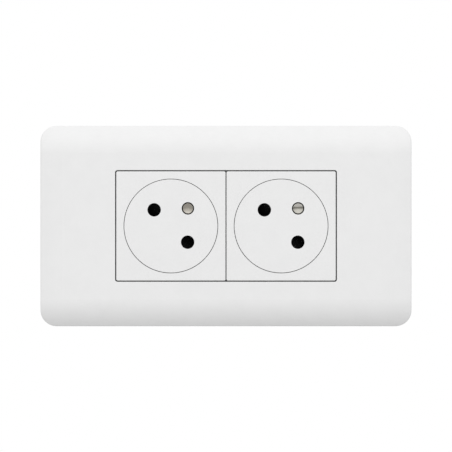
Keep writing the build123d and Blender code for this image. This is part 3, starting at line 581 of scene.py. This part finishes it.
# Polished white polycarbonate: an even neutral white with a low gloss; the tool's polish leaves a very
# faint change of tone some 6 mm across, and a fine grain that varies the gloss.
white_polycarbonate, tree = blank_material("white_polycarbonate")
place = add(tree, "ShaderNodeTexCoord").outputs["Object"]
waves = add(tree, "ShaderNodeTexNoise", {"Vector": place, "Scale": per_mm(6), "Detail": 2.0})
grain = add(tree, "ShaderNodeTexNoise", {"Vector": place, "Scale": per_mm(0.4), "Detail": 2.0})
tone = add(tree, "ShaderNodeValToRGB", {"Fac": waves.outputs["Fac"]})
tone.color_ramp.elements[0].position, tone.color_ramp.elements[0].color = 0.3, colour("E9E9E9")
tone.color_ramp.elements[1].position, tone.color_ramp.elements[1].color = 0.7, colour("EBEBEB")
dull = add(tree, "ShaderNodeMapRange", {"Value": grain.outputs["Fac"], "To Min": 0.44, "To Max": 0.54})
bump = add(tree, "ShaderNodeBump", {"Height": grain.outputs["Fac"], "Strength": 0.04, "Distance": 0.00002})
shader = add(tree, "ShaderNodeBsdfPrincipled", {
    "Base Color": tone.outputs["Color"], "Roughness": dull.outputs["Result"],
    "Normal": bump.outputs["Normal"], "IOR": 1.45})
add(tree, "ShaderNodeOutputMaterial", {"Surface": shader.outputs["BSDF"]})
dress(white_polycarbonate, "left_disc", "right_disc", "left_front_frame", "right_front_frame", "cover_plate")


# The mounting support is screwed to the wall box through its slots and carries the modules and the plate.
# It is injection-moulded in dark grey polyamide with glass fibre.

# Dark glass-filled polyamide: matt, with paler fibre streaks that run along the bars, 3 mm apart.
glass_filled_dark, tree = blank_material("glass_filled_polyamide_dark")
place = add(tree, "ShaderNodeTexCoord").outputs["Object"]
along = add(tree, "ShaderNodeMapping", {"Vector": place, "Scale": (0.3, 1, 1)}).outputs["Vector"]
streaks = add(tree, "ShaderNodeTexNoise", {
    "Vector": along, "Scale": per_mm(3), "Detail": 5.0, "Distortion": 0.8})
grain = add(tree, "ShaderNodeTexNoise", {"Vector": place, "Scale": per_mm(0.35), "Detail": 2.0})
tone = add(tree, "ShaderNodeValToRGB", {"Fac": streaks.outputs["Fac"]})
tone.color_ramp.elements[0].position, tone.color_ramp.elements[0].color = 0.3, colour("4E5154")
tone.color_ramp.elements[1].position, tone.color_ramp.elements[1].color = 0.72, colour("5C5F62")
dull = add(tree, "ShaderNodeMapRange", {"Value": grain.outputs["Fac"], "To Min": 0.48, "To Max": 0.66})
bump = add(tree, "ShaderNodeBump", {"Height": grain.outputs["Fac"], "Strength": 0.25, "Distance": 0.00004})
shader = add(tree, "ShaderNodeBsdfPrincipled", {
    "Base Color": tone.outputs["Color"], "Roughness": dull.outputs["Result"],
    "Normal": bump.outputs["Normal"], "IOR": 1.53})
add(tree, "ShaderNodeOutputMaterial", {"Surface": shader.outputs["BSDF"]})
dress(glass_filled_dark, "mounting_support")


# A pale painted studio floor lies well below the part, which hangs free in front of the camera.
# It shows the camera white, with the part's soft shadow, and throws back a quieter grey.
floor_drop, floor_reach, floor_sides = 0.25, 3.0, 72
corners = [math.radians(360 / floor_sides * i) for i in range(floor_sides)]
rim = [(floor_reach * math.cos(a), floor_reach * math.sin(a), -floor_drop) for a in corners]
floor_mesh = bpy.data.meshes.new("studio_floor")
floor_mesh.from_pydata(rim, [], [list(range(floor_sides))])
floor = bpy.data.objects.new("studio_floor", floor_mesh)
scene.collection.objects.link(floor)


def straight_rays(tree):
    """One for rays that show a thing as it is: to the camera, in a gloss, or through a clear part."""
    rays = add(tree, "ShaderNodeLightPath").outputs
    seen = add(tree, "ShaderNodeMath", {
        0: rays["Is Camera Ray"], 1: rays["Is Glossy Ray"]}, operation="MAXIMUM")
    return add(tree, "ShaderNodeMath", {
        0: seen.outputs[0], 1: rays["Is Transmission Ray"]}, operation="MAXIMUM").outputs[0]


floor_paint, tree = blank_material("matt_floor_paint")
quiet = add(tree, "ShaderNodeBsdfDiffuse", {"Color": colour("C5C5C5")}).outputs["BSDF"]
pale = add(tree, "ShaderNodeBsdfDiffuse", {"Color": colour("FCFCFC")}).outputs["BSDF"]
mixed = add(tree, "ShaderNodeMixShader", {0: straight_rays(tree), 1: quiet, 2: pale}).outputs[0]
add(tree, "ShaderNodeOutputMaterial", {"Surface": mixed})
floor_mesh.materials.append(floor_paint)


# The studio's own light is an even grey dome; the camera, and gloss and clear parts, see it white.
# One broad softbox hangs above and in front, so that the top roll is lighter than the bottom one.
dome_level = 0.88
world = bpy.data.worlds.new("studio")
world.use_nodes = True
tree = world.node_tree
tree.nodes.clear()
dome = add(tree, "ShaderNodeBackground", {"Color": (1, 1, 1, 1), "Strength": dome_level}).outputs[0]
white = add(tree, "ShaderNodeBackground", {"Color": (1, 1, 1, 1), "Strength": 1.0}).outputs[0]
mixed = add(tree, "ShaderNodeMixShader", {0: straight_rays(tree), 1: dome, 2: white}).outputs[0]
add(tree, "ShaderNodeOutputWorld", {"Surface": mixed})
scene.world = world

softbox_data = bpy.data.lights.new("softbox", "AREA")
softbox_data.shape = "SQUARE"
softbox_data.size = 1.6
softbox_data.energy = 6.9
softbox = bpy.data.objects.new("softbox", softbox_data)
softbox.location = (0, -1.236, 0.657)
softbox.rotation_euler = (-Vector(softbox.location)).to_track_quat("-Z", "Y").to_euler()
softbox.visible_camera = False
scene.collection.objects.link(softbox)
